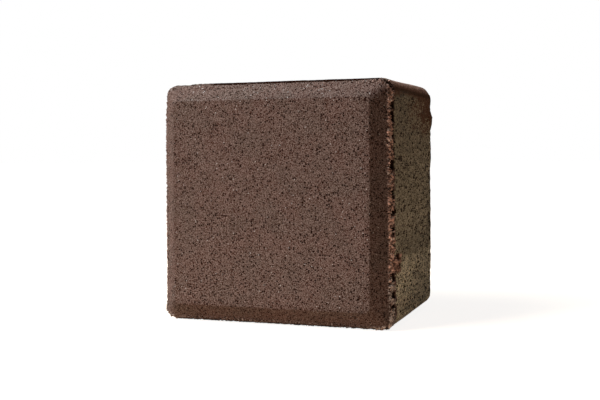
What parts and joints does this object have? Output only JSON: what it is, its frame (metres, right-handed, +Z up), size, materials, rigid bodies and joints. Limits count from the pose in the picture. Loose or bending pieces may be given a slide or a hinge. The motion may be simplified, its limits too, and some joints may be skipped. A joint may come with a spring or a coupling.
{
  "type": "concrete paver",
  "caption": "Square brown concrete paver block with a bevelled wearing face, rounded upright corners and flat sides, standing on one side.",
  "frame": {"origin": "middle of the side that the block stands on", "axes": "+Z up from the side that it stands on; the wearing face looks along -Y and the bed along +Y"},
  "size_m": [0.078, 0.06, 0.078],
  "materials": {
    "brown_concrete": "sandy, matt, as pressed; a thin grey-olive cement film on the sides"
  },
  "bodies": {
    "root": {"paver": "brown_concrete"}
  },
  "joints": []
}
